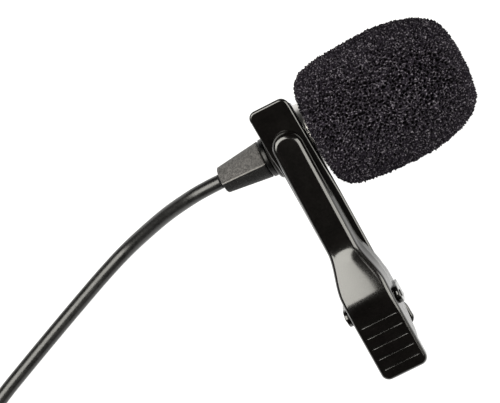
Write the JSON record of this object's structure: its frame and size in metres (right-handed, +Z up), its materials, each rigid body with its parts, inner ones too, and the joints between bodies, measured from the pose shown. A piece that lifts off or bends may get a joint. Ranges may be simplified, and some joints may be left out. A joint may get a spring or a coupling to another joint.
{
  "type": "lavalier microphone",
  "caption": "Clip-on lapel microphone with a foam windscreen, a metal body held across a spring clip, a tapered cable boot and a thin coiled cable that ends in a jack plug.",
  "frame": {"origin": "under the middle of the microphone and its clip, on the surface that the windscreen and the clip's tail lie on", "axes": "+X along the microphone's axis towards the windscreen's nose, +Z up, the clip running towards -Y and down to the surface"},
  "size_m": [0.1119, 0.0716, 0.0198],
  "materials": {
    "foam": "open-cell charcoal foam, rough",
    "satin_metal": "satin turned metal",
    "grey_metal": "grey turned metal",
    "grille": "dark perforated metal",
    "felt": "dark felt",
    "can": "bright drawn can",
    "boot_rubber": "matte finely textured rubber",
    "board": "green circuit board",
    "wire_red": "red insulated wire",
    "wire_white": "white insulated wire",
    "cable_jacket": "satin black cable jacket",
    "tie": "black strap",
    "plug_rubber": "matte black rubber",
    "plug_shell": "black moulded plastic",
    "plug_metal": "bright plated contact",
    "insulator": "black insulator",
    "black_gloss": "gloss black pressed steel",
    "spring_steel": "bright spring steel"
  },
  "bodies": {
    "microphone": {"mic_housing": "satin_metal", "rear_cap": "grey_metal", "grille_cap": "grille", "grille_felt": "felt", "electret_capsule": "can", "capsule_sleeve": "boot_rubber", "capsule_board": "board", "lead_wire_signal": "wire_red", "lead_wire_ground": "wire_white", "cable_crimp": "can", "boot_ring": "satin_metal", "cable_boot": "boot_rubber", "cable_inner_end": "cable_jacket", "cable": "cable_jacket", "cable_plug_end": "cable_jacket", "cable_coil": "cable_jacket", "coil_tie": "tie", "plug_boot": "plug_rubber", "plug_body": "plug_shell", "plug_sleeve_contact": "plug_metal", "plug_rear_insulator": "insulator", "plug_ring_contact": "plug_metal", "plug_front_insulator": "insulator", "plug_tip_contact": "plug_metal"},
    "windscreen": {"foam_windscreen": "foam"},
    "clip": {"clip_carrier_jaw": "black_gloss", "pivot_pin": "black_gloss", "torsion_spring": "spring_steel", "holder_ring": "black_gloss", "holder_washer": "spring_steel", "holder_rivet": "spring_steel"},
    "lever": {"clip_lever_jaw": "black_gloss"}
  },
  "joints": [
    {"name": "windscreen_slide", "type": "slide", "parent": "microphone", "child": "windscreen", "axis": [1, 0, 0], "range_m": [0, 0.03]},
    {"name": "holder_turn", "type": "hinge", "parent": "microphone", "child": "clip", "pos_m": [-0.00752, 0.01317, 0.00961], "axis": [1, 0, 0], "continuous": true},
    {"name": "lever_pivot", "type": "hinge", "parent": "clip", "child": "lever", "pos_m": [-0.00752, -0.01257, 0.00528], "axis": [1, 0, 0], "range_deg": [0, 20], "stiffness_Nm_per_rad": 0.08, "springref_deg": -28.65, "deforming": ["torsion_spring"]}
  ]
}
